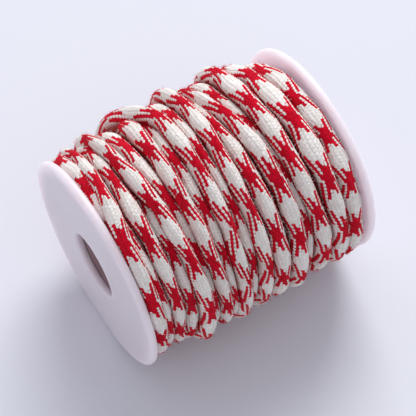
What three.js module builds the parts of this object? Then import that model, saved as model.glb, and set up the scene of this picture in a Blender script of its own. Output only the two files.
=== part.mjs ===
// A roll of braided cotton cord on a plastic spool that lies on its side.
// Millimetres, +Z up. The spool's axis runs along X and the floor is z = 0.
import * as THREE from "three";
import { mergeVertices } from "three/addons/utils/BufferGeometryUtils.js";

// Spool: two round plates on a tube
const FLANGE_RADIUS = 31;
const SPOOL_LENGTH = 72;
const FLANGE_THICKNESS = 2.3;
const FLANGE_EDGE_ROUNDING = 1.05;
const BORE_RADIUS = 9.5;
const BORE_EDGE_ROUNDING = 0.8; // at the plates' outer faces
const TUBE_WALL = 1.5;
const REST_CHORD = 8; // the plates rest on a flat this wide, worn on the rim
const PIECE_GAP = 0.3;

// Cord: what one turn measures, and how full the spool is beneath the last turns
const CORD_DIAMETER = 6.4;
const PACKED_RADIUS = 27.5;
const PRESSED_CROWN = 30.8; // how far a turn stands out where the floor presses it
const RIDGE_SPREAD = 1.5; // a ridge falls off by its offset squared over this many cord radii

// Grid of the wound surface
const ANGLE_STEPS = 64;
const LENGTH_STEPS = 84;

// Angles run round the spool's axis: 0 faces -Y, 90 is the top, 180 faces +Y, 270 rests on the floor.
const STATION_ANGLES = [-30, 0, 30, 60, 90, 120, 150, 180];
const LOOP_START = STATION_ANGLES[0];
const LOOP_SEEN = STATION_ANGLES[STATION_ANGLES.length - 1];
const LOOP_END = LOOP_START + 360;
const TUCK_ANGLE = 25; // stretch over which the last turn dives beneath the others

// Each row is one turn: its place along the axis and how far its crown stands from the axis,
// at the station angles. Behind the last station a turn runs on into the row below. The first row
// is the last turn of the layer beneath, which climbs up beside the far plate on the hidden side.
const TURNS = [
  { along: [30.2, 30.2, 30.2, 30.2, 30.2, 30.2, 30.2, 30.2], crown: [27.5, 27.5, 27.5, 27.5, 27.5, 27.5, 27.5, 27.5] },
  { along: [29.6, 29.6, 29.8, 29.9, 29.6, 28.6, 27.0, 26.2], crown: [31.0, 31.2, 31.0, 30.8, 30.6, 30.0, 29.4, 30.0] },
  { along: [25.6, 25.2, 24.9, 24.3, 23.6, 22.9, 22.2, 21.6], crown: [31.2, 31.8, 32.6, 33.0, 32.8, 32.3, 31.6, 31.8] },
  { along: [19.2, 19.0, 18.6, 17.6, 17.2, 16.9, 17.3, 17.0], crown: [30.8, 31.8, 32.6, 33.0, 33.2, 33.6, 33.9, 32.7] },
  { along: [15.0, 15.1, 15.3, 15.0, 13.9, 12.3, 12.2, 12.4], crown: [29.1, 29.5, 29.9, 29.7, 29.7, 30.5, 31.3, 31.5] },
  { along: [12.5, 11.6, 12.1, 12.1, 10.8, 8.2, 7.4, 8.0], crown: [32.2, 32.4, 32.8, 33.0, 33.0, 32.4, 31.6, 31.4] },
  { along: [6.6, 5.8, 6.2, 6.3, 6.1, 5.9, 5.6, 4.6], crown: [31.6, 32.0, 32.4, 32.4, 31.2, 30.6, 30.6, 31.0] },
  { along: [0.4, 0.4, 1.0, 1.5, 2.2, 2.7, 2.8, 1.4], crown: [31.4, 32.0, 32.8, 33.2, 33.6, 34.0, 34.2, 32.8] },
  { along: [-3.2, -2.8, -2.2, -1.9, -1.6, -1.0, -1.0, -3.0], crown: [29.9, 30.1, 30.5, 30.7, 31.1, 31.3, 31.5, 31.5] },
  { along: [-8.6, -9.0, -9.3, -9.0, -8.8, -8.0, -7.4, -6.8], crown: [30.4, 30.4, 30.2, 30.4, 30.6, 30.6, 30.2, 30.6] },
  { along: [-6.0, -6.0, -6.0, -5.2, -5.2, -5.6, -12.0, -16.2], crown: [32.0, 32.4, 32.8, 33.2, 33.6, 34.4, 34.8, 32.8] },
  { along: [-11.0, -11.6, -12.6, -12.9, -12.2, -11.5, -11.0, -11.4], crown: [30.8, 31.8, 32.6, 33.0, 33.0, 32.8, 31.6, 31.6] },
  { along: [-14.5, -14.8, -15.2, -15.7, -16.5, -17.6, -17.8, -17.4], crown: [29.9, 29.9, 29.7, 29.9, 30.5, 31.3, 30.9, 30.3] },
  { along: [-17.6, -18.0, -17.8, -19.2, -20.8, -22.0, -22.4, -22.4], crown: [32.4, 32.8, 33.2, 33.2, 33.2, 33.0, 32.8, 32.4] },
  { along: [-22.0, -22.0, -21.6, -21.3, -21.0, -21.2, -21.6, -21.8], crown: [29.7, 29.9, 30.1, 29.9, 29.1, 28.7, 28.7, 29.3] },
  { along: [-25.0, -25.7, -25.6, -25.7, -25.5, -24.6, -24.4, -25.4], crown: [29.2, 30.4, 31.8, 32.2, 31.6, 30.6, 30.2, 30.8] },
  { along: [-29.0, -29.0, -29.0, -29.4, -30.8, -31.0, -31.0, -31.0], crown: [28.8, 29.8, 30.8, 30.8, 30.2, 31.0, 30.8, 30.4] },
  { along: [-31.0, -31.0, -31.0, -31.0, -30.0, -28.8, -28.4, -28.2], crown: [29.4, 30.4, 31.6, 32.2, 32.4, 32.0, 31.6, 31.6] },
];

// Worked out from the sizes above
const REST_DROP = FLANGE_RADIUS - Math.sqrt(FLANGE_RADIUS ** 2 - (REST_CHORD / 2) ** 2);
const AXIS_HEIGHT = FLANGE_RADIUS - REST_DROP;
const TUBE_RADIUS = BORE_RADIUS + TUBE_WALL;
const INNER_FACE = SPOOL_LENGTH / 2 - FLANGE_THICKNESS;
const WINDING_HALF = INNER_FACE - PIECE_GAP;

const finish = (color, roughness) =>
  new THREE.MeshStandardMaterial({ color, roughness, metalness: 0 });
const SPOOL_PLASTIC = finish("#e4e4ee", 0.35);
const COTTON_CORD = finish("#c9828a", 0.95);

/** A point at an angle round the axis; nothing reaches beneath the floor. */
function roundAxis(along, radius, degrees) {
  const angle = THREE.MathUtils.degToRad(degrees);
  const height = AXIS_HEIGHT + radius * Math.sin(angle);
  return new THREE.Vector3(along, -radius * Math.cos(angle), Math.max(height, 0));
}

/** A closed ring made by sweeping a closed outline of [along, radius] points round the axis. */
function ringFromOutline(outlineAt, pointCount, steps) {
  const positions = [];
  const triangles = [];
  for (let step = 0; step < steps; step += 1) {
    const degrees = LOOP_START + (360 * step) / steps;
    for (const [along, radius] of outlineAt(degrees)) {
      positions.push(...roundAxis(along, radius, degrees).toArray());
    }
  }
  for (let step = 0; step < steps; step += 1) {
    const here = step * pointCount;
    const ahead = ((step + 1) % steps) * pointCount;
    for (let i = 0; i < pointCount; i += 1) {
      const j = (i + 1) % pointCount;
      triangles.push(here + i, ahead + i, here + j);
      triangles.push(here + j, ahead + i, ahead + j);
    }
  }
  const geometry = new THREE.BufferGeometry();
  geometry.setAttribute("position", new THREE.Float32BufferAttribute(positions, 3));
  geometry.setIndex(triangles);
  const closed = mergeVertices(geometry, 1e-4);
  closed.computeVertexNormals();
  return closed;
}

/** Value of a turn's row at an angle, smooth between the stations. */
function alongStations(values, degrees) {
  const step = STATION_ANGLES[1] - STATION_ANGLES[0];
  const place = (degrees - LOOP_START) / step;
  const i = Math.min(Math.floor(place), values.length - 2);
  const before = values[Math.max(i - 1, 0)];
  const after = values[Math.min(i + 2, values.length - 1)];
  const t = place - i;
  const slopeIn = (values[i + 1] - before) / 2;
  const slopeOut = (after - values[i]) / 2;
  const rise = values[i + 1] - values[i];
  return values[i] + t * (slopeIn + t * (3 * rise - 2 * slopeIn - slopeOut + t * (slopeIn + slopeOut - 2 * rise)));
}

/** Where one turn lies at an angle: its place along the axis and its crown's distance from it. */
function turnAt(index, degrees) {
  const turn = TURNS[index];
  const last = STATION_ANGLES.length - 1;
  let along = 0;
  let crown = 0;
  if (degrees <= LOOP_SEEN) {
    along = alongStations(turn.along, degrees);
    crown = alongStations(turn.crown, degrees);
  } else {
    const next = TURNS[index + 1] ?? turn;
    const share = THREE.MathUtils.smoothstep(degrees, LOOP_SEEN, LOOP_END);
    along = THREE.MathUtils.lerp(turn.along[last], next.along[0], share);
    crown = THREE.MathUtils.lerp(turn.crown[last], next.crown[0], share);
    const pressed = Math.sin(Math.PI * share);
    crown = Math.min(crown, THREE.MathUtils.lerp(crown, PRESSED_CROWN, pressed));
  }
  if (index === TURNS.length - 1) {
    const tucked = THREE.MathUtils.smoothstep(degrees, LOOP_END - TUCK_ANGLE, LOOP_END);
    crown -= tucked * (crown - PACKED_RADIUS);
  }
  return { along, crown };
}

/** The wound surface's distance from the axis: the highest turn at that place, or the packed cord beneath. */
function woundRadius(along, turns) {
  const spread = (RIDGE_SPREAD * CORD_DIAMETER) / 2;
  const crests = turns.map((turn) => turn.crown - (along - turn.along) ** 2 / spread);
  return Math.max(PACKED_RADIUS, ...crests);
}

/** Outline of the wound cord at one angle: out along the turns' crests, back along the tube. */
function woundOutline(degrees) {
  const turns = TURNS.map((_, index) => turnAt(index, degrees));
  const seat = TUBE_RADIUS + PIECE_GAP;
  const outline = [
    [-WINDING_HALF, seat],
    [WINDING_HALF, seat],
  ];
  for (let i = 0; i <= LENGTH_STEPS; i += 1) {
    const along = WINDING_HALF - (2 * WINDING_HALF * i) / LENGTH_STEPS;
    outline.push([along, woundRadius(along, turns)]);
  }
  return outline;
}

/** Outline of an end plate: a flat disc with a hole and a rounded rim. */
function flangeOutline(outerFace, innerFace) {
  const side = Math.sign(outerFace - innerFace);
  const round = FLANGE_EDGE_ROUNDING;
  const outline = [];
  const corners = [
    { face: innerFace, towards: side, from: 180, to: 90 },
    { face: outerFace, towards: -side, from: 90, to: 0 },
  ];
  for (const { face, towards, from, to } of corners) {
    for (let i = 0; i <= 4; i += 1) {
      const angle = THREE.MathUtils.degToRad(THREE.MathUtils.lerp(from, to, i / 4));
      const reach = round * (1 - Math.abs(Math.cos(angle)));
      outline.push([face + towards * reach, FLANGE_RADIUS - round + round * Math.sin(angle)]);
    }
  }
  const mouth = BORE_EDGE_ROUNDING;
  for (let i = 0; i <= 3; i += 1) {
    const angle = THREE.MathUtils.degToRad(30 * i);
    const inwards = mouth * (1 - Math.cos(angle));
    outline.push([outerFace - side * inwards, BORE_RADIUS + mouth * (1 - Math.sin(angle))]);
  }
  outline.push([innerFace, BORE_RADIUS]);
  return side > 0 ? outline.reverse() : outline;
}

function flange(name, side) {
  const outer = (side * SPOOL_LENGTH) / 2;
  const outline = flangeOutline(outer, side * INNER_FACE);
  const mesh = new THREE.Mesh(ringFromOutline(() => outline, outline.length, 96), SPOOL_PLASTIC);
  mesh.name = name;
  return mesh;
}

function coreTube() {
  const half = INNER_FACE - PIECE_GAP;
  const outline = [
    [-half, BORE_RADIUS],
    [half, BORE_RADIUS],
    [half, TUBE_RADIUS],
    [-half, TUBE_RADIUS],
  ];
  const mesh = new THREE.Mesh(ringFromOutline(() => outline, outline.length, 64), SPOOL_PLASTIC);
  mesh.name = "core_tube";
  return mesh;
}

function woundCord() {
  const pointCount = LENGTH_STEPS + 3;
  const mesh = new THREE.Mesh(ringFromOutline(woundOutline, pointCount, ANGLE_STEPS), COTTON_CORD);
  mesh.name = "wound_cord";
  return mesh;
}

const roll = new THREE.Group();
roll.add(flange("flange_near", -1), flange("flange_far", 1), coreTube(), woundCord());

export default roll;
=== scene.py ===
"""A roll of braided cotton cord on a plastic spool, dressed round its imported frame.

Lengths are millimetres up to the mesh, which is in metres. The spool's axis runs along X. Angles
run round it in degrees: 0 faces -Y, 90 is the top, 180 faces +Y and 270 rests on the floor.
"""

import logging
import math
from dataclasses import dataclass, field
from enum import Enum
from typing import Any, Sequence

import bpy
import numpy as np
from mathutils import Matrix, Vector


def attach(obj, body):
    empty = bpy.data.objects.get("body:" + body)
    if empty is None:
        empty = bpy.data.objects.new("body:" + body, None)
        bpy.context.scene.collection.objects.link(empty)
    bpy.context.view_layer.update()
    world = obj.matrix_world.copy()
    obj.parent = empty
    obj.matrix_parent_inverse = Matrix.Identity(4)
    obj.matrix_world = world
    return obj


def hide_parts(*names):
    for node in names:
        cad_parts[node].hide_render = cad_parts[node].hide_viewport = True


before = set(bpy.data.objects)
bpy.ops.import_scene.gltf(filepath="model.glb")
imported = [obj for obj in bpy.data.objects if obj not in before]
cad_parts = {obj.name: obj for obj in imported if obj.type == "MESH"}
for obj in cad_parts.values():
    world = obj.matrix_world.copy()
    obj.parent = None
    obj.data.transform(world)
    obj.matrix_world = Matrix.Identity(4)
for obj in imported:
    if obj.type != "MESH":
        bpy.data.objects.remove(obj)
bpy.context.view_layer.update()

log = logging.getLogger("roll")
MM = 0.001
IMAGE_SIDE = 416
MIX_A, MIX_B, MIX_RESULT = 6, 7, 2  # sockets of a Mix node that mixes colours

# Spool and cord, as in the part's source. The angles are where a turn is measured, where it
# begins, where the photograph stops showing it and where it ends.
AXIS_HEIGHT = math.sqrt(31.0**2 - 4.0**2)
INNER_FACE = 33.7
CORD_RADIUS = 3.2
PACKED_CROWN = 27.5
PRESSED_CROWN = 30.8
STATIONS = (-30, 0, 30, 60, 90, 120, 150, 180)
LOOP_START, LOOP_SEEN, LOOP_END = -30.0, 180.0, 330.0
TUCK_ANGLE = 25.0  # stretch over which the last turn dives beneath the others
TUCK_ALONG = 2.5

# Braid: rows of beads from star to star, as counted in the photograph, then columns of beads round
# the cord and the rows that a band moves on for each, which were fitted to the look of its stars.
# The beads' own width would give 24 or 25 columns.
ROWS_PER_STAR = 16
COLUMNS = 22
BAND_SLOPE = 1.15
STAR_ANGLE = 32.0  # from star to star, round the spool
STAR_PINCH = 0.8  # how far the columns draw together at a star
PINCH_STEPS = 16

# Map for baking: a ring's length, the way round the cord, and the bare rim of a strip
RING_PITCH = 0.58
CORD_ROUND = 20.1
STRIP_RIM = 0.004

# The cord's whole way is worked out at steps of this many degrees, and its braid's pitch and its
# own form are evened out over so many steps and so many rings
PATH_STEP = 0.25
EVEN_OUT = 81
EVEN_RINGS = 41

WALL_GAP = 0.05  # between the cord and the plates' inner faces


@dataclass(frozen=True)
class Turn:
    """One turn of the cord: its place and crown at the stations, and its braid's stars that show.

    stars holds (angle, place along the axis) of each star's middle.
    """

    along: tuple[float, ...]
    crown: tuple[float, ...]
    stars: tuple[tuple[float, float], ...]


TURNS = (
    Turn(
        (30.2,) * 8,
        (27.5,) * 8,
        ((20, 30.2), (92, 30.2), (156, 30.2)),
    ),
    Turn(
        (29.6, 29.6, 29.8, 29.9, 29.6, 28.6, 27.0, 26.2),
        (31.0, 31.2, 31.0, 30.8, 30.6, 30.0, 29.4, 30.0),
        ((12, 28.7), (40, 30.7), (91, 27.8)),
    ),
    Turn(
        (25.6, 25.2, 24.9, 24.3, 23.6, 22.9, 22.2, 21.6),
        (31.2, 31.8, 32.6, 33.0, 32.8, 32.3, 31.6, 31.8),
        ((17, 25.9), (48, 24.3), (80, 23.7), (115, 23.0)),
    ),
    Turn(
        (19.2, 19.0, 18.6, 17.6, 17.2, 16.9, 17.3, 17.0),
        (30.8, 31.8, 32.6, 33.0, 33.2, 33.6, 33.9, 32.7),
        ((5, 19.0), (34, 18.2), (67, 16.8), (98, 16.5)),
    ),
    Turn(
        (15.0, 15.1, 15.3, 15.0, 13.9, 12.3, 12.2, 12.4),
        (29.1, 29.5, 29.9, 29.7, 29.7, 30.5, 31.3, 31.5),
        ((28, 15.8), (92, 14.5), (119, 11.7)),
    ),
    Turn(
        (12.5, 11.6, 12.1, 12.1, 10.8, 8.2, 7.4, 8.0),
        (32.2, 32.4, 32.8, 33.0, 33.0, 32.4, 31.6, 31.4),
        ((-5, 12.0), (26, 11.3), (58, 11.3), (101, 9.8)),
    ),
    Turn(
        (6.6, 5.8, 6.2, 6.3, 6.1, 5.9, 5.6, 4.6),
        (31.6, 32.0, 32.4, 32.4, 31.2, 30.6, 30.6, 31.0),
        ((4, 5.0), (34, 5.0), (66, 5.2), (98, 5.2)),
    ),
    Turn(
        (0.4, 0.4, 1.0, 1.5, 2.2, 2.7, 2.8, 1.4),
        (31.4, 32.0, 32.8, 33.2, 33.6, 34.0, 34.2, 32.8),
        ((19, 1.7), (53, 2.2), (86, 2.0), (118, 2.5)),
    ),
    Turn(
        (-3.2, -2.8, -2.2, -1.9, -1.6, -1.0, -1.0, -3.0),
        (29.9, 30.1, 30.5, 30.7, 31.1, 31.3, 31.5, 31.5),
        ((24, -1.8), (56, -1.8), (88, -1.8)),
    ),
    Turn(
        (-8.6, -9.0, -9.3, -9.0, -8.8, -8.0, -7.4, -6.8),
        (30.4, 30.4, 30.2, 30.4, 30.6, 30.6, 30.2, 30.6),
        ((38, -8.8), (62, -8.8), (92, -8.7)),
    ),
    Turn(
        (-6.0, -6.0, -6.0, -5.2, -5.2, -5.6, -12.0, -16.2),
        (32.0, 32.4, 32.8, 33.2, 33.6, 34.4, 34.8, 32.8),
        ((17, -4.2), (50, -3.8), (81, -4.8), (118, -5.5)),
    ),
    Turn(
        (-11.0, -11.6, -12.6, -12.9, -12.2, -11.5, -11.0, -11.4),
        (30.8, 31.8, 32.6, 33.0, 33.0, 32.8, 31.6, 31.6),
        ((38, -14.0), (70, -14.8), (102, -14.0)),
    ),
    Turn(
        (-14.5, -14.8, -15.2, -15.7, -16.5, -17.6, -17.8, -17.4),
        (29.9, 29.9, 29.7, 29.9, 30.5, 31.3, 30.9, 30.3),
        ((12, -15.0), (75, -15.8), (116, -16.5)),
    ),
    Turn(
        (-17.6, -18.0, -17.8, -19.2, -20.8, -22.0, -22.4, -22.4),
        (32.4, 32.8, 33.2, 33.2, 33.2, 33.0, 32.8, 32.4),
        ((14, -17.6), (45, -18.7), (76, -22.0), (106, -23.5)),
    ),
    Turn(
        (-22.0, -22.0, -21.6, -21.3, -21.0, -21.2, -21.6, -21.8),
        (29.7, 29.9, 30.1, 29.9, 29.1, 28.7, 28.7, 29.3),
        ((20, -22.0), (52, -21.6)),
    ),
    Turn(
        (-25.0, -25.7, -25.6, -25.7, -25.5, -24.6, -24.4, -25.4),
        (29.2, 30.4, 31.8, 32.2, 31.6, 30.6, 30.2, 30.8),
        ((6, -27.0), (30, -26.0), (62, -27.3), (97, -24.9)),
    ),
    Turn(
        (-29.0, -29.0, -29.0, -29.4, -30.8, -31.0, -31.0, -31.0),
        (28.8, 29.8, 30.8, 30.8, 30.2, 31.0, 30.8, 30.4),
        ((13, -29.0), (36, -29.0), (70, -30.0), (103, -32.4)),
    ),
    Turn(
        (-31.0, -31.0, -31.0, -31.0, -30.0, -28.8, -28.4, -28.2),
        (29.4, 30.4, 31.6, 32.2, 32.4, 32.0, 31.6, 31.6),
        ((7, -33.0), (33, -32.8), (67, -32.3), (97, -29.7)),
    ),
)


def linear(hex_colour: str) -> tuple[float, float, float, float]:
    """Turn an sRGB hex colour to linear.

    Args:
        hex_colour: six hex digits.

    Returns:
        Red, green, blue and alpha, from 0 to 1.
    """
    shares = [int(hex_colour[i : i + 2], 16) / 255 for i in (0, 2, 4)]
    bent = [c / 12.92 if c <= 0.04045 else ((c + 0.055) / 1.055) ** 2.4 for c in shares]
    return (bent[0], bent[1], bent[2], 1.0)


def pattern_scale(size_mm: float) -> float:
    """Turn a pattern's real size to the scale of its texture, which counts in metres."""
    return 1 / (size_mm * MM)


def add_node(
    material: bpy.types.Material, kind: str, settings: dict[Any, Any] | None = None
) -> bpy.types.Node:
    """Add one shader node.

    Args:
        material: the material it goes in.
        kind: the node's type.
        settings: by attribute name, or by input number or name, a value or the socket to join.

    Returns:
        The new node.
    """
    node = material.node_tree.nodes.new(kind)
    for key, value in (settings or {}).items():
        if isinstance(value, bpy.types.NodeSocket):
            material.node_tree.links.new(value, node.inputs[key])
        elif isinstance(key, str) and hasattr(node, key):
            setattr(node, key, value)
        else:
            node.inputs[key].default_value = value
    return node


def new_material(name: str) -> tuple[bpy.types.Material, bpy.types.Node]:
    """Make an empty material with a Principled shader.

    Args:
        name: the material's name.

    Returns:
        The material and its shader node.
    """
    material = bpy.data.materials.new(name)
    material.use_nodes = True
    material.node_tree.nodes.clear()
    shader = add_node(material, "ShaderNodeBsdfPrincipled")
    add_node(material, "ShaderNodeOutputMaterial", {0: shader.outputs[0]})
    return material, shader


class Strand(Enum):
    """The two yarns of the braid."""

    RED = ("EE0C30", "C80622")
    CREAM = ("FCF7F2", "EEE5DC")


@dataclass(frozen=True)
class BraidedCotton:
    """Spun cotton braided round, unglazed: matte and soft, with no shine but a faint bloom.

    Each float of yarn is a small round bead. Red bands cross the cream ones, so that stars stand
    where they meet and strokes lean away from them. Between two turns a darker red-brown is
    painted into the yarn: painted shade in the cleft, tinted by painted red light from the
    neighbouring turns.
    """

    name: str = "Braided cotton, red and natural"
    # Width of a red band, and of one in the strands beneath, in rows
    red_rows: float = 7.3
    under_rows: float = 6.6
    # A bead's outline, in columns and rows from its middle, and how its rise falls off
    pearl_half: float = 0.5
    pearl_length: float = 0.47
    side_power: float = 2.4
    end_power: float = 2.8
    side_fall: float = 0.6
    end_fall: float = 0.55
    # Shares: the least of a bead's random tone, then painted shade in the gaps between beads, more
    # on red, and how far the colour lifts from a gap to a bead's crown
    least_tone: float = 0.3
    gap_shade: float = 0.05
    red_gap_shade: float = 0.18
    crown_rise: float = 0.07
    # Painted into the cleft between turns: its shade, tinted by red light bounced from neighbours
    cleft_painted_shade_colour: str = "A8524C"
    # Filaments of the yarn: how many to a bead, their slant, and how they differ from bead to bead
    filaments: float = 3.0
    filament_slant: float = 2.4
    filament_scatter: float = 0.4
    # Heights of the bump, and how much of it counts
    bead_height_mm: float = 0.28
    filament_height_mm: float = 0.06
    lint_height_mm: float = 0.34
    bump_strength: float = 0.9
    # Beads stray by this share over three beads' length, the yarn's tone drifts over a finger's
    # width, and lint is drawn coarser than real so that it shows
    wander: float = 0.18
    wander_mm: float = 100 / 33
    mottle_mm: float = 100 / 9
    lint_mm: float = 2 / 3
    roughness: float = 0.92
    specular: float = 0.08
    sheen: float = 0.04
    sheen_roughness: float = 0.5

    def steps(self) -> tuple[tuple[Any, ...], ...]:
        """The braid's sums.

        Each is a name, an operation and its terms: numbers, or names of sums before it. Even
        columns hold the beads that lean one way and odd ones the rest. A bead is red inside its
        own band. Round a cream bead the strands beneath show, which are red inside the band that
        leans the other way.

        Returns:
            The sums, in order.
        """
        half_star = ROWS_PER_STAR / 2
        return (
            # The map, swayed a little so that no two beads are alike
            ("u_off", "SUBTRACT", "sway_u", 0.5),
            ("u", "MULTIPLY_ADD", "u_off", 2 * self.wander, "map_u"),
            ("y_off", "SUBTRACT", "sway_v", 0.5),
            ("y", "MULTIPLY_ADD", "y_off", 3 * self.wander, "map_v"),
            # The bead at the place: its column and row, and the way from its middle
            ("column_edge", "ADD", "u", 0.5),
            ("column", "FLOOR", "column_edge"),
            ("du", "SUBTRACT", "u", "column"),
            ("way", "FLOORED_MODULO", "column", 2.0),
            ("lean", "MULTIPLY_ADD", "way", 2.0, -1.0),
            ("shifted", "MULTIPLY_ADD", "way", 0.5, "y"),
            ("row_edge", "ADD", "shifted", 0.5),
            ("row_shifted", "FLOOR", "row_edge"),
            ("row", "MULTIPLY_ADD", "way", -0.5, "row_shifted"),
            ("dy", "SUBTRACT", "y", "row"),
            # Red where the bead lies in its own strand's band
            ("slope", "MULTIPLY", "lean", BAND_SLOPE),
            ("own_band", "MULTIPLY_ADD", "slope", "column", "row"),
            ("own_near", "WRAP", "own_band", half_star, -half_star),
            ("own_off", "ABSOLUTE", "own_near"),
            ("own_red", "LESS_THAN", "own_off", self.red_rows / 2),
            # Red where the strands beneath, which lean the other way, have theirs
            ("slope_back", "MULTIPLY", "slope", -1.0),
            ("under_band", "MULTIPLY_ADD", "slope_back", "u", "y"),
            ("under_near", "WRAP", "under_band", half_star, -half_star),
            ("under_off", "ABSOLUTE", "under_near"),
            ("under_red", "LESS_THAN", "under_off", self.under_rows / 2),
            # The bead is an ellipse, and the strands beneath show outside it
            ("pearl_x", "MULTIPLY", "du", 1 / self.pearl_half),
            ("pearl_xx", "MULTIPLY", "pearl_x", "pearl_x"),
            ("pearl_y", "MULTIPLY", "dy", 1 / self.pearl_length),
            ("pearl_r", "MULTIPLY_ADD", "pearl_y", "pearl_y", "pearl_xx"),
            ("between", "GREATER_THAN", "pearl_r", 1.0),
            ("shown", "MULTIPLY", "under_red", "between"),
            ("red", "MAXIMUM", "own_red", "shown"),
            # The bead's rise, from 0 at its edge to 1 in its middle
            ("du_size", "ABSOLUTE", "du"),
            ("du_two", "MULTIPLY", "du_size", 2.0),
            ("across", "POWER", "du_two", self.side_power),
            ("dy_size", "ABSOLUTE", "dy"),
            ("dy_two", "MULTIPLY", "dy_size", 2.0),
            ("along", "POWER", "dy_two", self.end_power),
            ("fall_across", "MULTIPLY", "across", self.side_fall),
            ("fall", "MULTIPLY_ADD", "along", self.end_fall, "fall_across"),
            ("fallen", "MINIMUM", "fall", 1.0),
            ("bead", "SUBTRACT", 1.0, "fallen"),
            # Each bead's tone, and the painted shade in the gaps between beads
            ("tone_drift", "ADD", "mottle", self.least_tone),
            ("tone_cell", "MULTIPLY", "chance", "tone_drift"),
            ("gap_least", "MULTIPLY_ADD", "red", -self.red_gap_shade, 1 - self.gap_shade),
            ("gap_rise", "MULTIPLY_ADD", "red", self.red_gap_shade, self.crown_rise),
            ("shade", "MULTIPLY_ADD", "bead", "gap_rise", "gap_least"),
            # Filaments along the strand and lint on top of it, for the bump
            ("fibre_along", "MULTIPLY", "dy", "lean"),
            ("fibre_slant", "MULTIPLY", "fibre_along", self.filament_slant),
            ("fibre_place", "MULTIPLY_ADD", "du", self.filaments, "fibre_slant"),
            ("fibre_turn", "MULTIPLY_ADD", "chance", self.filament_scatter, "fibre_place"),
            ("fibre_wave", "MULTIPLY", "fibre_turn", math.tau),
            ("fibre", "SINE", "fibre_wave"),
            ("fibre_height", "MULTIPLY", "fibre", self.filament_height_mm / 2),
            ("lint_height", "MULTIPLY_ADD", "lint", self.lint_height_mm, "fibre_height"),
            ("height", "MULTIPLY_ADD", "bead", self.bead_height_mm, "lint_height"),
        )

    def build(self) -> bpy.types.Material:
        """Build the braid's material from the cord's own map of columns and rows.

        Returns:
            The material.
        """
        material, shader = new_material(self.name)
        uv = add_node(material, "ShaderNodeUVMap", {"uv_map": "Braid"})
        split = add_node(material, "ShaderNodeSeparateXYZ", {0: uv.outputs[0]})
        place = add_node(material, "ShaderNodeTexCoord").outputs["Object"]
        noises = {}
        for title, size_mm, detail in (
            ("wander", self.wander_mm, 1.0),
            ("mottle", self.mottle_mm, 3.0),
            ("lint", self.lint_mm, 3.0),
        ):
            noises[title] = add_node(
                material,
                "ShaderNodeTexNoise",
                {"Scale": pattern_scale(size_mm), "Detail": detail, "Vector": place},
            ).outputs
        sway = add_node(material, "ShaderNodeSeparateColor", {0: noises["wander"]["Color"]})
        cleft_shade = add_node(material, "ShaderNodeAttribute", {"attribute_name": "cleft_shade"})
        values = {
            "map_u": split.outputs[0],
            "map_v": split.outputs[1],
            "sway_u": sway.outputs[0],
            "sway_v": sway.outputs[1],
            "mottle": noises["mottle"]["Fac"],
            "lint": noises["lint"]["Fac"],
        }
        for name, operation, *terms in self.steps():
            if "chance" in terms and "chance" not in values:
                cell = add_node(
                    material, "ShaderNodeCombineXYZ", {0: values["column"], 1: values["row"]}
                )
                odd = add_node(
                    material,
                    "ShaderNodeTexWhiteNoise",
                    {"noise_dimensions": "2D", "Vector": cell.outputs[0]},
                )
                values["chance"] = odd.outputs["Value"]
            settings = {i: values.get(term, term) for i, term in enumerate(terms)}
            values[name] = add_node(
                material, "ShaderNodeMath", {"operation": operation, **settings}
            ).outputs[0]
        red, cream = (
            add_node(
                material,
                "ShaderNodeMix",
                {
                    "data_type": "RGBA",
                    0: values["tone_cell"],
                    MIX_A: linear(strand.value[0]),
                    MIX_B: linear(strand.value[1]),
                },
            ).outputs[MIX_RESULT]
            for strand in Strand
        )
        yarn = add_node(
            material,
            "ShaderNodeMix",
            {"data_type": "RGBA", 0: values["red"], MIX_A: cream, MIX_B: red},
        )
        colour = yarn.outputs[MIX_RESULT]
        # Painted shade: darker in the gaps between beads, then darker and redder in the cleft
        # between turns, where the red stands in for light bounced from the neighbouring turns
        for share, tint in (
            (1.0, values["shade"]),
            (cleft_shade.outputs["Fac"], linear(self.cleft_painted_shade_colour)),
        ):
            colour = add_node(
                material,
                "ShaderNodeMix",
                {
                    "data_type": "RGBA",
                    "blend_type": "MULTIPLY",
                    0: share,
                    MIX_A: colour,
                    MIX_B: tint,
                },
            ).outputs[MIX_RESULT]
        bump = add_node(
            material,
            "ShaderNodeBump",
            {"Strength": self.bump_strength, "Distance": MM, "Height": values["height"]},
        )
        material.node_tree.links.new(colour, shader.inputs["Base Color"])
        material.node_tree.links.new(bump.outputs[0], shader.inputs["Normal"])
        shader.inputs["Roughness"].default_value = self.roughness
        shader.inputs["Specular IOR Level"].default_value = self.specular
        shader.inputs["Sheen Weight"].default_value = self.sheen
        shader.inputs["Sheen Roughness"].default_value = self.sheen_roughness
        return material


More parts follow.
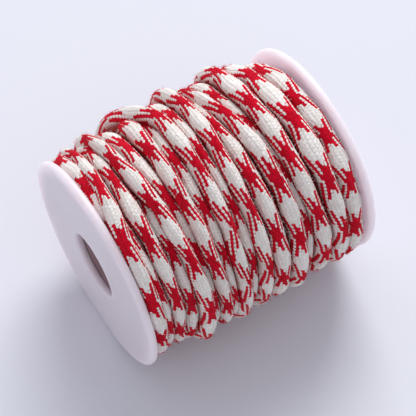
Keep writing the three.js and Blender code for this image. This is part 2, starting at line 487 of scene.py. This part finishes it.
@dataclass(frozen=True)
class MouldedPolypropylene:
    """Natural polypropylene, injection moulded: milky and satin.

    Light goes in a little way, so that edges glow softly, and the gloss is faintly uneven.
    """

    name: str
    colour: str
    deep_colour: str
    # How deep light goes in, and that share for red, green and blue
    depth_mm: float = 8.0
    depth_shares: tuple[float, float, float] = (1.0, 0.95, 0.93)
    ior: float = 1.49
    # Roughness where the mould left it glossiest and dullest, and the size of such patches
    least_roughness: float = 0.34
    most_roughness: float = 0.46
    patch_mm: float = 200 / 9
    # The mould's own fine grain
    grain_mm: float = 5 / 7
    grain_height_mm: float = 0.02
    grain_strength: float = 0.25

    def build(self) -> bpy.types.Material:
        """Build the plastic's material.

        Returns:
            The material.
        """
        material, shader = new_material(self.name)
        place = add_node(material, "ShaderNodeTexCoord").outputs["Object"]
        cloud = add_node(
            material,
            "ShaderNodeTexNoise",
            {"Scale": pattern_scale(self.patch_mm), "Detail": 3.0, "Vector": place},
        ).outputs["Fac"]
        tone = add_node(
            material,
            "ShaderNodeMix",
            {
                "data_type": "RGBA",
                0: cloud,
                MIX_A: linear(self.colour),
                MIX_B: linear(self.deep_colour),
            },
        )
        material.node_tree.links.new(tone.outputs[MIX_RESULT], shader.inputs["Base Color"])
        gloss = add_node(
            material,
            "ShaderNodeMapRange",
            {0: cloud, 3: self.least_roughness, 4: self.most_roughness},
        )
        material.node_tree.links.new(gloss.outputs[0], shader.inputs["Roughness"])
        grain = add_node(
            material,
            "ShaderNodeTexNoise",
            {"Scale": pattern_scale(self.grain_mm), "Detail": 2.0, "Vector": place},
        )
        bump = add_node(
            material,
            "ShaderNodeBump",
            {
                "Strength": self.grain_strength,
                "Distance": self.grain_height_mm * MM,
                "Height": grain.outputs["Fac"],
            },
        )
        material.node_tree.links.new(bump.outputs[0], shader.inputs["Normal"])
        shader.inputs["IOR"].default_value = self.ior
        shader.inputs["Subsurface Weight"].default_value = 1.0
        shader.inputs["Subsurface Radius"].default_value = self.depth_shares
        shader.inputs["Subsurface Scale"].default_value = self.depth_mm * MM
        return material


def smooth_share(value: np.ndarray, low: float, high: float) -> np.ndarray:
    """Share from 0 at low to 1 at high, level at both ends.

    Args:
        value: the places asked for.
        low: where the share is 0.
        high: where the share is 1.

    Returns:
        The share at each place.
    """
    t = np.clip((value - low) / (high - low), 0, 1)
    return t * t * (3 - 2 * t)


def inside_spool(points: np.ndarray) -> np.ndarray:
    """Keep points over the floor and between the plates.

    Args:
        points: places in millimetres, changed where they lie.

    Returns:
        The same places.
    """
    points[..., 2] = np.maximum(points[..., 2], 0.0)
    points[..., 0] = np.clip(points[..., 0], -INNER_FACE + WALL_GAP, INNER_FACE - WALL_GAP)
    return points


def unit(ways: np.ndarray) -> np.ndarray:
    """Scale each direction to a length of 1."""
    return ways / np.linalg.norm(ways, axis=-1, keepdims=True)


@dataclass
class Fibres:
    """Loose fibres on a stretch of cord: seven points each, and each one's ring and side."""

    points: np.ndarray
    ring: np.ndarray
    side: np.ndarray


# A fibre's points are three round its root, three round its middle and its tip
FIBRE_POINTS = 7
FIBRE_FACES = (
    *((0, 1, 4), (0, 4, 3), (1, 2, 5), (1, 5, 4), (2, 0, 3), (2, 3, 5)),
    *((3, 4, 6), (4, 5, 6), (5, 3, 6)),
)


@dataclass
class Skin:
    """The surface of one stretch of cord: rings of points, and what the braid needs at each.

    points is rings by sides by 3. rows has the braid's row at each ring, and columns the braid's
    column at each side. The last field, rings by sides, says how far into the cleft between two
    turns each point lies, which sets how much painted shade goes into its colour.
    """

    points: np.ndarray
    rows: np.ndarray
    columns: np.ndarray
    cleft_shade: np.ndarray

    def bake_place(
        self, ring: np.ndarray, side: np.ndarray, strip: np.ndarray | None = None
    ) -> np.ndarray:
        """Where a point falls in the map for baking: the stretch is cut in strips, side by side.

        Args:
            ring: the point's ring.
            side: its side.
            strip: the strip it belongs to, or nothing to take it from the ring.

        Returns:
            Its place, from 0 to 1 each way.
        """
        rings, sides = self.points.shape[:2]
        strips = max(1, round(math.sqrt(rings * RING_PITCH / CORD_ROUND)))
        per_strip = math.ceil((rings - 1) / strips)
        strip = np.clip((ring if strip is None else strip) // per_strip, 0, strips - 1)
        along = STRIP_RIM + (1 - 2 * STRIP_RIM) * (ring - strip * per_strip) / per_strip
        rim = STRIP_RIM * strips
        around = (strip + rim + (1 - 2 * rim) * side / sides) / strips
        return np.stack([along, around], -1)

    def piece(
        self, name: str, material: bpy.types.Material, fibres: Fibres | None
    ) -> bpy.types.Object:
        """Turn the surface into a closed piece with a map for the braid and one for baking.

        Args:
            name: the piece's name.
            material: what it is made of.
            fibres: its loose fibres, or nothing.

        Returns:
            The piece.
        """
        rings, sides = self.points.shape[:2]
        ring, side = np.meshgrid(np.arange(rings - 1), np.arange(sides), indexing="ij")
        ahead = (side + 1) % sides
        corners = [(ring, side), (ring, ahead), (ring + 1, ahead), (ring + 1, side)]
        quads = np.stack([r * sides + s for r, s in corners], -1).reshape(-1, 4)
        ends = [range(sides)[::-1], range((rings - 1) * sides, rings * sides)]
        faces = quads.tolist() + [list(end) for end in ends]
        corner_ring = np.stack([ring, ring, ring + 1, ring + 1], -1).reshape(-1, 4)
        corner_side = np.stack([side, side + 1, side + 1, side], -1).reshape(-1, 4)
        corner_column = corner_side * (COLUMNS / sides) - COLUMNS / 2
        end_corners = np.zeros((2 * sides, 2))
        braid = [np.stack([corner_column, self.rows[corner_ring]], -1), end_corners]
        bake = [self.bake_place(corner_ring, corner_side, corner_ring[:, :1]), end_corners]
        points, cleft_shade = [self.points.reshape(-1, 3)], [self.cleft_shade.ravel()]
        if fibres:
            start = rings * sides + FIBRE_POINTS * np.arange(len(fibres.ring))[:, None, None]
            faces += (start + np.array(FIBRE_FACES)).reshape(-1, 3).tolist()
            points.append(fibres.points.reshape(-1, 3))
            cleft_shade.append(np.repeat(self.cleft_shade[fibres.ring, fibres.side], FIBRE_POINTS))
            loops = 3 * len(FIBRE_FACES)
            roots = np.stack([self.columns[fibres.side], self.rows[fibres.ring]], -1)
            braid.append(np.repeat(roots, loops, axis=0))
            bake.append(np.repeat(self.bake_place(fibres.ring, fibres.side), loops, axis=0))
        data = bpy.data.meshes.new(name)
        data.from_pydata((inside_spool(np.concatenate(points)) * MM).tolist(), [], faces)
        for title, parts in (("Braid", braid), ("OFBake", bake)):
            layer = data.uv_layers.new(name=title)
            flat = np.concatenate([part.reshape(-1, 2) for part in parts])
            layer.data.foreach_set("uv", flat.astype(np.float32).ravel())
        cleft_shade_layer = data.attributes.new("cleft_shade", "FLOAT", "POINT")
        cleft_shade_layer.data.foreach_set("value", np.concatenate(cleft_shade).astype(np.float32))
        data.polygons.foreach_set("use_smooth", np.ones(len(data.polygons), bool))
        data.materials.append(material)
        data.update()
        piece = bpy.data.objects.new(name, data)
        bpy.context.scene.collection.objects.link(piece)
        return piece


@dataclass(frozen=True)
class Fuzz:
    """Short loose fibres of the spun yarn, which stand off it and are drawn thicker than real."""

    per_ring: float = 8.8  # before those on the hidden side are left out
    least_outward: float = 0.1
    radius_mm: float = 0.04
    middle_radius: float = 0.8
    # Least and most of a fibre's length, of the share left of it, and of its way out
    length_mm: tuple[float, float] = (0.5, 1.7)
    shorter: tuple[float, float] = (0.5, 1.0)
    rise: tuple[float, float] = (0.35, 1.0)
    middle_at: float = 0.55  # where it bends, as a share of its length
    root_depth_mm: float = 0.15
    # How much chance moves the root, the way out and the bend, and how far the bend droops
    root_stray_mm: float = 0.12
    way_stray: float = 0.55
    bend_stray: float = 0.5
    droop: float = 0.25

    def grow(self, skin: Skin, normal: np.ndarray, outward: np.ndarray, seed: int) -> Fibres:
        """Grow fibres from the side of a stretch that shows.

        Args:
            skin: the stretch of cord.
            normal: the surface's way out at each point.
            outward: how far each point faces away from the spool's axis, -1 to 1.
            seed: where the row of random numbers starts.

        Returns:
            The fibres.
        """
        dice = np.random.default_rng(seed)
        rings, sides = skin.points.shape[:2]
        count = int(rings * self.per_ring)
        ring, side = dice.integers(1, rings - 1, count), dice.integers(0, sides, count)
        shown = outward[ring, side] > self.least_outward
        ring, side = ring[shown], side[shown]
        count = len(ring)
        up = normal[ring, side]
        root = skin.points[ring, side] + dice.normal(0, self.root_stray_mm, (count, 3))
        way = up * dice.uniform(*self.rise, (count, 1))
        way = unit(way + dice.normal(0, self.way_stray, (count, 3)))
        length = dice.uniform(*self.length_mm, (count, 1))
        length = length * dice.uniform(*self.shorter, (count, 1))
        bent = unit(way + dice.normal(0, self.bend_stray, (count, 3)) - self.droop * up)
        middle = root + way * length * self.middle_at
        tip = middle + bent * length * (1 - self.middle_at)
        aside = unit(np.cross(way, dice.normal(0, 1, (count, 3))))
        other = np.cross(way, aside)
        root = root - up * self.root_depth_mm
        corners = [
            (aside * math.cos(a) + other * math.sin(a)) * self.radius_mm
            for a in (0, math.tau / 3, -math.tau / 3)
        ]
        points = [root + c for c in corners] + [middle + c * self.middle_radius for c in corners]
        return Fibres(np.stack([*points, tip], 1), ring, side)


@dataclass(frozen=True)
class Press:
    """How the neighbours of a turn press it out of round."""

    share: float = 0.455  # its half-width, as a share of the way to a neighbour
    drop: float = 1.1  # how much more a step down counts than a step aside
    nearest_mm: float = 0.4  # a turn nearer than this lies over it, and doesn't press it
    farthest: float = 2.2  # nor does one this many cord radii away
    least_crown: float = 28.0  # nor one as deep as this
    against_wall_mm: float = 0.05  # a turn beside a plate is flat against it over this depth
    least_at_wall_mm: float = 1.6
    least_half_mm: float = 1.8
    tallest_mm: float = 4.2


@dataclass
class Winding:
    """The cord as wound: each turn is its own tube, with a ring of points every half bead."""

    turns: tuple[Turn, ...] = TURNS
    press: Press = Press()
    fuzz: Fuzz = Fuzz()
    roundness: float = 2.05  # 2 is an ellipse, and more is squarer
    # The beads' relief, and how it falls off from a bead's middle to its sides and ends
    relief_mm: float = 0.17
    side_fall: float = 0.66
    end_fall: float = 0.5
    star_waist: float = 0.045  # the cord is thinner by this share at a star, and fuller between
    # Slow waves along the cord, in place and in width, and their lengths in degrees
    uneven_mm: float = 0.2
    uneven_share: float = 0.05
    wave_lengths: tuple[float, ...] = (23.0, 37.0, 61.0, 97.0)
    # The painted shade in the cleft between turns begins this far from a turn's crown
    cleft_shade_from: float = 56.0  # degrees from the crown of a turn to where its cleft begins
    most_lean: float = 0.85  # how far off a turn's middle a star may lie, in cord radii
    # The layer beneath
    layer_pitch: float = 6.15
    layer_reach: float = 30.2
    layer_half: float = 3.05
    layer_step: float = 4.0
    layer_sides: int = 20
    seed: int = 20
    material: bpy.types.Material | None = None
    path: dict[str, np.ndarray] = field(default_factory=dict)

    def station_value(self, values: Sequence[float], angle: np.ndarray) -> np.ndarray:
        """A row's value at angles, smooth between the stations.

        Args:
            values: one value for each station.
            angle: degrees, within the stations.

        Returns:
            The value at each angle.
        """
        row = np.array(values, float)
        step = STATIONS[1] - STATIONS[0]
        spot = (angle - LOOP_START) / step
        i = np.clip(np.floor(spot).astype(int), 0, len(row) - 2)
        t = spot - i
        slope_in = (row[i + 1] - row[np.maximum(i - 1, 0)]) / 2
        slope_out = (row[np.minimum(i + 2, len(row) - 1)] - row[i]) / 2
        rise = row[i + 1] - row[i]
        bend = 3 * rise - 2 * slope_in - slope_out
        return row[i] + t * (slope_in + t * (bend + t * (slope_in + slope_out - 2 * rise)))

    def turn_at(self, index: int, angle: np.ndarray) -> tuple[np.ndarray, np.ndarray]:
        """Where one turn lies.

        Args:
            index: the turn's row.
            angle: degrees, from LOOP_START to LOOP_END.

        Returns:
            Its place along the axis and its crown's distance from the axis, at each angle.
        """
        turn = self.turns[index]
        after = self.turns[min(index + 1, len(self.turns) - 1)]
        seen = np.minimum(angle, LOOP_SEEN)
        share = smooth_share(angle, LOOP_SEEN, LOOP_END)
        onward = turn.along[-1] + (after.along[0] - turn.along[-1]) * share
        along = np.where(angle <= LOOP_SEEN, self.station_value(turn.along, seen), onward)
        level = turn.crown[-1] + (after.crown[0] - turn.crown[-1]) * share
        pressed = np.sin(np.pi * share)
        level = np.minimum(level, level + (PRESSED_CROWN - level) * pressed)
        crown = np.where(angle <= LOOP_SEEN, self.station_value(turn.crown, seen), level)
        if index == len(self.turns) - 1:
            tucked = smooth_share(angle, LOOP_END - TUCK_ANGLE, LOOP_END)
            crown = crown - tucked * (crown - PACKED_CROWN)
            along = along + tucked * TUCK_ALONG
        return along, crown

    def lay_braid(self) -> None:
        """Work out the braid's rows and twist along the whole cord from the stars that show."""
        angles, counts, twists = [], [], []
        count = 0
        for index, turn in enumerate(self.turns):
            for angle, along in turn.stars:
                here, _ = self.turn_at(index, np.array([float(angle)]))
                whole = index * 360.0 + angle
                if angles:
                    count += max(1, round((whole - angles[-1]) / STAR_ANGLE))
                lean = (along - here[0]) / CORD_RADIUS
                lean = np.clip(lean, -self.most_lean, self.most_lean)
                angles.append(whole)
                counts.append(count)
                twists.append(math.degrees(math.asin(lean)))
        self.path["star_angle"] = np.array(angles)
        self.path["star_twist"] = np.array(twists)
        whole = np.arange(LOOP_SEEN, (len(self.turns) - 1) * 360.0 + LOOP_END, PATH_STEP)
        # Beyond the first and last stars that show, the braid runs on at its usual pitch
        before, beyond = 10, 20
        ends_angle = [angles[0] - before * STAR_ANGLE, *angles, angles[-1] + beyond * STAR_ANGLE]
        ends_count = [counts[0] - before, *counts, counts[-1] + beyond]
        rows = np.interp(whole, ends_angle, ends_count) * ROWS_PER_STAR
        padded = np.pad(rows, EVEN_OUT // 2, mode="reflect", reflect_type="odd")
        rows = np.convolve(padded, np.ones(EVEN_OUT) / EVEN_OUT, mode="valid")
        ring_rows = np.arange(math.ceil(rows[0] * 2), math.floor(rows[-1] * 2)) / 2
        self.path["row"] = ring_rows
        self.path["angle"] = np.interp(ring_rows, rows, whole)

    def sections(self) -> None:
        """Work out each ring's middle, half-widths and half-height, pressed by its neighbours."""
        whole = self.path["angle"]
        index = np.floor((whole - LOOP_START) / 360.0).astype(int)
        index = np.clip(index, 0, len(self.turns) - 1)
        angle = whole - index * 360.0
        places = np.zeros((len(self.turns), len(whole)))
        crowns = np.zeros_like(places)
        for i in range(len(self.turns)):
            places[i], crowns[i] = self.turn_at(i, angle)
        own = (index, np.arange(len(whole)))
        along, crown = places[own], crowns[own]
        press = self.press
        halves = []
        for side in (-1, 1):
            gap = side * (places - along)
            reach = press.share * np.hypot(gap, press.drop * (crowns - crown))
            apart = (gap < press.nearest_mm) | (gap > press.farthest * CORD_RADIUS)
            reach[apart | (crowns < press.least_crown)] = CORD_RADIUS
            half = np.minimum(CORD_RADIUS, reach.min(axis=0))
            wall = INNER_FACE - side * along + press.against_wall_mm
            half = np.minimum(half, np.maximum(wall, press.least_at_wall_mm))
            halves.append(np.maximum(half, press.least_half_mm))
        kernel = np.hanning(EVEN_RINGS) / np.hanning(EVEN_RINGS).sum()

        def eased(values: np.ndarray) -> np.ndarray:
            """Values evened out along the cord."""
            return np.convolve(np.pad(values, EVEN_RINGS // 2, mode="edge"), kernel, mode="valid")

        waist = 1 - self.star_waist * np.cos(math.tau * self.path["row"] / ROWS_PER_STAR)
        left, right = (eased(h) * waist for h in halves)
        tall = np.clip(2 * CORD_RADIUS - (left + right) / 2, CORD_RADIUS, press.tallest_mm)
        dice = np.random.default_rng(self.seed)

        def wobble(size: float) -> np.ndarray:
            """Make slow uneven waves along the cord.

            Args:
                size: about how far they swing.

            Returns:
                The wave at each ring.
            """
            wave = np.zeros_like(whole)
            for length in self.wave_lengths:
                phase = dice.uniform(0, math.tau)
                wave += np.sin(math.tau * whole / length + phase) * dice.uniform(0.5, 1.0)
            return wave * size / 2

        squeeze = 1 + wobble(self.uneven_share)
        self.path.update(
            along=eased(along) + wobble(self.uneven_mm),
            crown=eased(crown) + wobble(self.uneven_mm),
            left=left * squeeze,
            right=right * squeeze,
            tall=tall / squeeze,
            index=index,
        )
        self.path["twist"] = np.interp(whole, self.path["star_angle"], self.path["star_twist"])

    @staticmethod
    def pinched(column: np.ndarray, row: np.ndarray) -> np.ndarray:
        """Where the braid's columns lie: drawn together at each star and apart between two.

        Args:
            column: columns, counted from the stars' own.
            row: the braid's rows.

        Returns:
            Each column's place, in even columns.
        """
        draw = STAR_PINCH * np.cos(math.tau * row / ROWS_PER_STAR)
        place = column + 0 * row
        for _ in range(PINCH_STEPS):
            rest = 1 - (2 * place / COLUMNS) ** 4
            place = column - draw * np.sin(math.tau * BAND_SLOPE * place / ROWS_PER_STAR) * rest
        return place

    def tube(self, name: str, first: int, last: int, sides: int) -> bpy.types.Object:
        """Build one stretch of cord as a closed tube.

        Args:
            name: the piece's name.
            first: its first ring.
            last: its last ring, included.
            sides: points round the cord.

        Returns:
            The piece.
        """
        p = self.path
        # One ring more at each end gives the way ahead there
        window = slice(max(first - 1, 0), min(last + 2, len(p["angle"])))
        turn = np.radians(p["angle"][window])
        middle = p["crown"][window] - p["tall"][window]
        out = np.stack([np.zeros_like(turn), -np.cos(turn), np.sin(turn)], 1)
        centre = out * middle[:, None] + (0, 0, AXIS_HEIGHT)
        centre[:, 0] = p["along"][window]
        ahead = unit(np.gradient(centre, axis=0))
        out = unit(out - ahead * (out * ahead).sum(1)[:, None])
        across = np.cross(ahead, out)
        across *= np.sign(across[:, :1])
        begin = first - window.start
        keep = slice(begin, begin + last - first + 1)
        centre, out, across = centre[keep, None], out[keep, None], across[keep, None]
        span = slice(first, last + 1)
        rows = p["row"][span, None]
        column = np.arange(sides) * (COLUMNS / sides) - COLUMNS / 2
        place = self.pinched(column[None, :], rows)
        bearing = np.radians(place * 360.0 / COLUMNS + p["twist"][span, None])
        sine, cosine = np.sin(bearing), np.cos(bearing)
        power = 2 / self.roundness
        wide = np.where(sine > 0, p["right"][span, None], p["left"][span, None])
        tall = p["tall"][span, None]
        x = wide * np.sign(sine) * np.abs(sine) ** power
        z = tall * np.sign(cosine) * np.abs(cosine) ** power
        shows = sides >= COLUMNS
        if shows:
            nearest = np.floor(column + 0.5)
            shift = 0.5 * (nearest % 2)
            to_end = 2 * np.abs(rows + shift - np.floor(rows + shift + 0.5))
            to_side = 2 * np.abs(column - nearest)
            rise = 0.5 - self.side_fall * to_side - self.end_fall * to_end**2
            swell = 1 + self.relief_mm * rise / np.hypot(x, z)
            x, z = x * swell, z * swell
        points = centre + across * x[..., None] + out * z[..., None]
        # How far each point lies in the cleft between turns, which sets its painted shade
        cleft_shade_from = -math.cos(math.radians(self.cleft_shade_from))
        skin = Skin(points, p["row"][span], column, smooth_share(-cosine, cleft_shade_from, 0.0))
        fibres = None
        if shows:
            normal = unit(across * (sine / wide)[..., None] + out * (cosine / tall)[..., None])
            fibres = self.fuzz.grow(skin, normal, cosine, self.seed + first)
        return skin.piece(name, self.material, fibres)

    def layer_beneath(self) -> bpy.types.Object:
        """Build the layer beneath the last turns, which shows only deep between them.

        Returns:
            The piece.
        """
        turns = round(2 * self.layer_reach / self.layer_pitch)
        whole = np.arange(0, turns * 360.0 + 1, self.layer_step)
        share = whole / whole[-1]
        kept = self.path
        self.path = {
            "angle": whole + LOOP_SEEN,
            "along": self.layer_reach * (2 * share - 1),
            "crown": np.full_like(whole, PACKED_CROWN),
            "left": np.full_like(whole, self.layer_half),
            "right": np.full_like(whole, self.layer_half),
            "tall": np.full_like(whole, CORD_RADIUS),
            "twist": np.zeros_like(whole),
            "row": whole / STAR_ANGLE * ROWS_PER_STAR,
        }
        piece = self.tube("cord_layer_beneath", 0, len(whole) - 1, self.layer_sides)
        self.path = kept
        return piece

    def build(self) -> list[bpy.types.Object]:
        """Build every turn and the layer beneath.

        Returns:
            The pieces.
        """
        self.material = BraidedCotton().build()
        self.lay_braid()
        self.sections()
        pieces = [self.layer_beneath()]
        index = self.path["index"]
        for i in range(len(self.turns)):
            rings = np.nonzero(index == i)[0]
            last = min(rings[-1] + 1, len(index) - 1)
            name = f"cord_turn_{i + 1:02d}"
            pieces.append(self.tube(name, int(rings[0]), int(last), 2 * COLUMNS))
        for piece in pieces:
            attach(piece, "root")
            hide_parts("wound_cord")
        return pieces


@dataclass
class Spool:
    """The plastic spool: two plates and a tube, kept as the frame has them and dressed."""

    plates: tuple[str, ...] = ("flange_near", "flange_far")
    tube: str = "core_tube"
    crease_degrees: float = 32.0  # faces that meet at more than this keep their edge

    def build(self) -> list[bpy.types.Object]:
        """Dress the plates and the tube.

        Returns:
            The pieces.
        """
        # The plates' faint pink, deeper in cloudy patches, is painted red light from the cord
        # behind the milky plastic
        plate = MouldedPolypropylene(
            "Natural polypropylene, moulded plate", "F8E1EB", "F3D5E1"
        ).build()
        # The tube is thin, so the red cord behind it would show through: its pink and red-brown
        # tints are painted red light from the cord
        lining = MouldedPolypropylene(
            "Natural polypropylene, moulded tube", "E0B6BC", "B4848E"
        ).build()
        pieces = []
        for name in (*self.plates, self.tube):
            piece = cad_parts[name]
            piece.data.materials.clear()
            piece.data.materials.append(lining if name == self.tube else plate)
            piece.data.shade_smooth()
            piece.data.set_sharp_from_angle(angle=math.radians(self.crease_degrees))
            pieces.append(piece)
        return pieces


@dataclass
class Studio:
    """A pale floor, soft lights and the camera at the photograph's angle.

    Each light is a name, where it hangs and its side, in metres, and its power in watts.
    """

    camera_mm: tuple[float, float, float] = (-116.3, -186.0, 411.1)
    target_mm: tuple[float, float, float] = (0.0, 0.0, AXIS_HEIGHT)
    focal_px: float = 1585.35
    centre_px: tuple[float, float] = (205.39, 204.75)
    clip_m: tuple[float, float] = (0.01, 20.0)
    floor_colour: str = "DDDFE6"
    floor_reach_m: float = 3.0
    floor_roughness: float = 0.9
    floor_specular: float = 0.1
    sky_colour: str = "F0F2FC"
    sky_strength: float = 0.63
    lights_aim_m: tuple[float, float, float] = (0.0, 0.0, 0.03)
    lights: tuple[tuple[str, tuple[float, float, float], float, float], ...] = (
        ("window_behind", (1.0, 1.2, 1.5), 1.2, 38.0),
        ("glow_right", (1.6, -0.1, 0.45), 0.8, 1.2),
        ("fill_left", (-1.3, -0.5, 0.8), 1.2, 1.5),
    )

    def camera(self) -> None:
        """Place the camera."""
        data = bpy.data.cameras.new("camera")
        data.lens = self.focal_px * data.sensor_width / IMAGE_SIDE
        data.shift_x = (IMAGE_SIDE / 2 - self.centre_px[0]) / IMAGE_SIDE
        data.shift_y = (self.centre_px[1] - IMAGE_SIDE / 2) / IMAGE_SIDE
        data.clip_start, data.clip_end = self.clip_m
        camera = bpy.data.objects.new("camera", data)
        place = Vector(self.camera_mm) * MM
        camera.location = place
        camera.rotation_mode = "QUATERNION"
        camera.rotation_quaternion = (Vector(self.target_mm) * MM - place).to_track_quat("-Z", "Y")
        bpy.context.scene.collection.objects.link(camera)
        bpy.context.scene.camera = camera

    def floor(self) -> None:
        """Lay the floor."""
        data = bpy.data.meshes.new("floor")
        reach = self.floor_reach_m
        corners = [(-reach, -reach, 0), (reach, -reach, 0), (reach, reach, 0), (-reach, reach, 0)]
        data.from_pydata(corners, [], [(0, 1, 2, 3)])
        floor = bpy.data.objects.new("floor", data)
        material, shader = new_material("Matte painted board")
        shader.inputs["Base Color"].default_value = linear(self.floor_colour)
        shader.inputs["Roughness"].default_value = self.floor_roughness
        shader.inputs["Specular IOR Level"].default_value = self.floor_specular
        data.materials.append(material)
        bpy.context.scene.collection.objects.link(floor)

    def light(self, name: str, place: Sequence[float], size: float, watts: float) -> None:
        """Hang one square soft light that faces the spool.

        Args:
            name: the light's name.
            place: where it hangs, in metres.
            size: its side, in metres.
            watts: its power.
        """
        data = bpy.data.lights.new(name, "AREA")
        data.shape = "SQUARE"
        data.size = size
        data.energy = watts
        lamp = bpy.data.objects.new(name, data)
        lamp.location = place
        lamp.rotation_mode = "QUATERNION"
        facing = Vector(self.lights_aim_m) - Vector(place)
        lamp.rotation_quaternion = facing.to_track_quat("-Z", "Y")
        bpy.context.scene.collection.objects.link(lamp)

    def build(self) -> None:
        """Set up the camera, floor, lights and world."""
        self.camera()
        self.floor()
        for name, place, size, watts in self.lights:
            self.light(name, place, size, watts)
        world = bpy.data.worlds.new("studio")
        world.use_nodes = True
        backdrop = world.node_tree.nodes["Background"]
        backdrop.inputs[0].default_value = linear(self.sky_colour)
        backdrop.inputs[1].default_value = self.sky_strength
        bpy.context.scene.world = world
        bpy.context.scene.view_settings.view_transform = "Standard"


def main() -> None:
    """Build the spool, the winding and the studio, and note the sizes."""
    logging.basicConfig(level=logging.INFO, format="%(name)s: %(message)s")
    Studio().build()
    pieces = Spool().build() + Winding().build()
    for piece in pieces:
        log.info("%s: %d faces", piece.name, len(piece.data.polygons))


if __name__ == "__main__":
    main()
